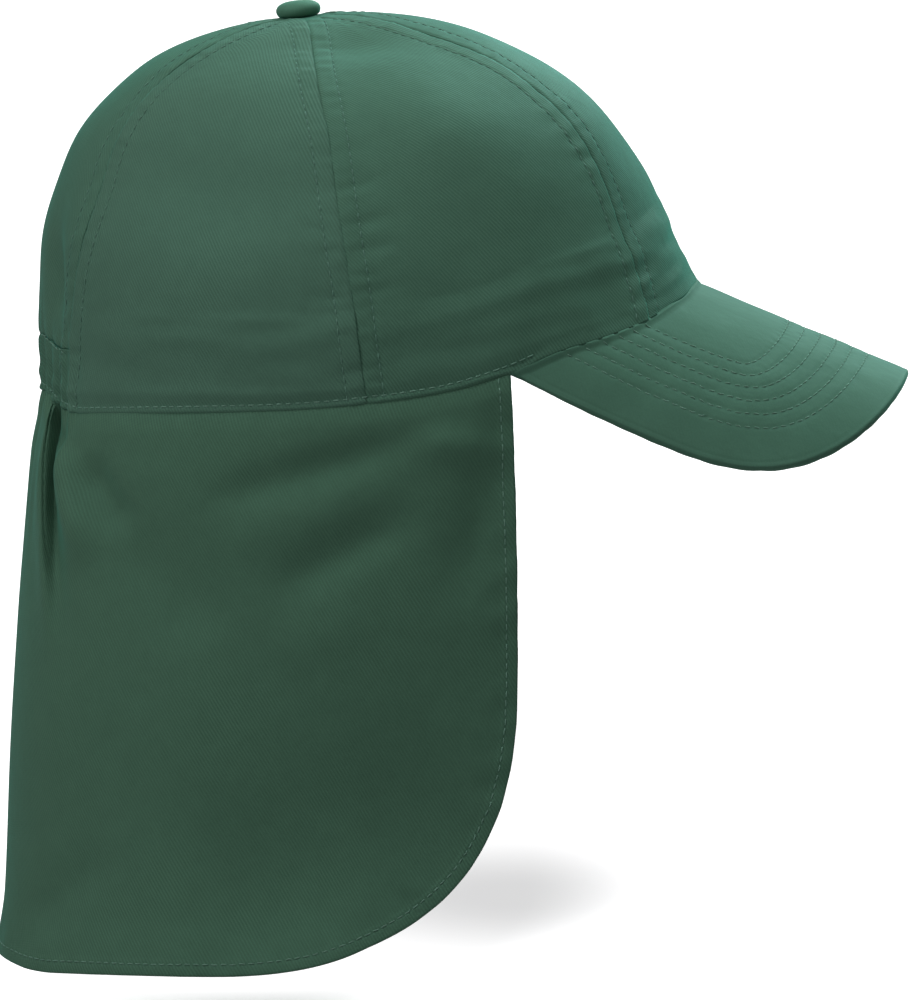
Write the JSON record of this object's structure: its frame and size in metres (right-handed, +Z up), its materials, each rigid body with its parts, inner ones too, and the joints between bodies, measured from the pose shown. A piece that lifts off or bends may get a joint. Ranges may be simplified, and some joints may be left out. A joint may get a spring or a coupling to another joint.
{
  "type": "legionnaire cap",
  "caption": "Soft panelled sun cap with a stiff curved peak in front and a long cloth flap that hangs from its rim over the ears and neck.",
  "frame": {"origin": "middle of the head opening, at the height of the rim beside the ears, where the cap sits on a head", "axes": "+X forward over the peak, +Y to the wearer's left, +Z up through the crown"},
  "size_m": [0.2755, 0.1574, 0.2947],
  "materials": {
    "front_cloth": "brushed cotton twill with a soft sheen",
    "front_side_cloth": "brushed cotton twill with a soft sheen",
    "back_side_cloth": "brushed cotton twill, matte",
    "back_cloth": "brushed cotton twill, matte",
    "casing_cloth": "gathered cotton twill, matte",
    "button_cloth": "cotton twill drawn over a button, matte",
    "peak_cloth": "stitched cotton twill over a stiff board, soft sheen",
    "flap_cloth": "cotton twill, matte"
  },
  "bodies": {
    "root": {"front_panel": "front_cloth", "front_side_panel_right": "front_side_cloth", "front_side_panel_left": "front_side_cloth", "back_side_panel_right": "back_side_cloth", "back_side_panel_left": "back_side_cloth", "back_panel": "back_cloth", "elastic_casing": "casing_cloth", "top_button": "button_cloth", "peak": "peak_cloth", "neck_flap": "flap_cloth"}
  },
  "joints": []
}
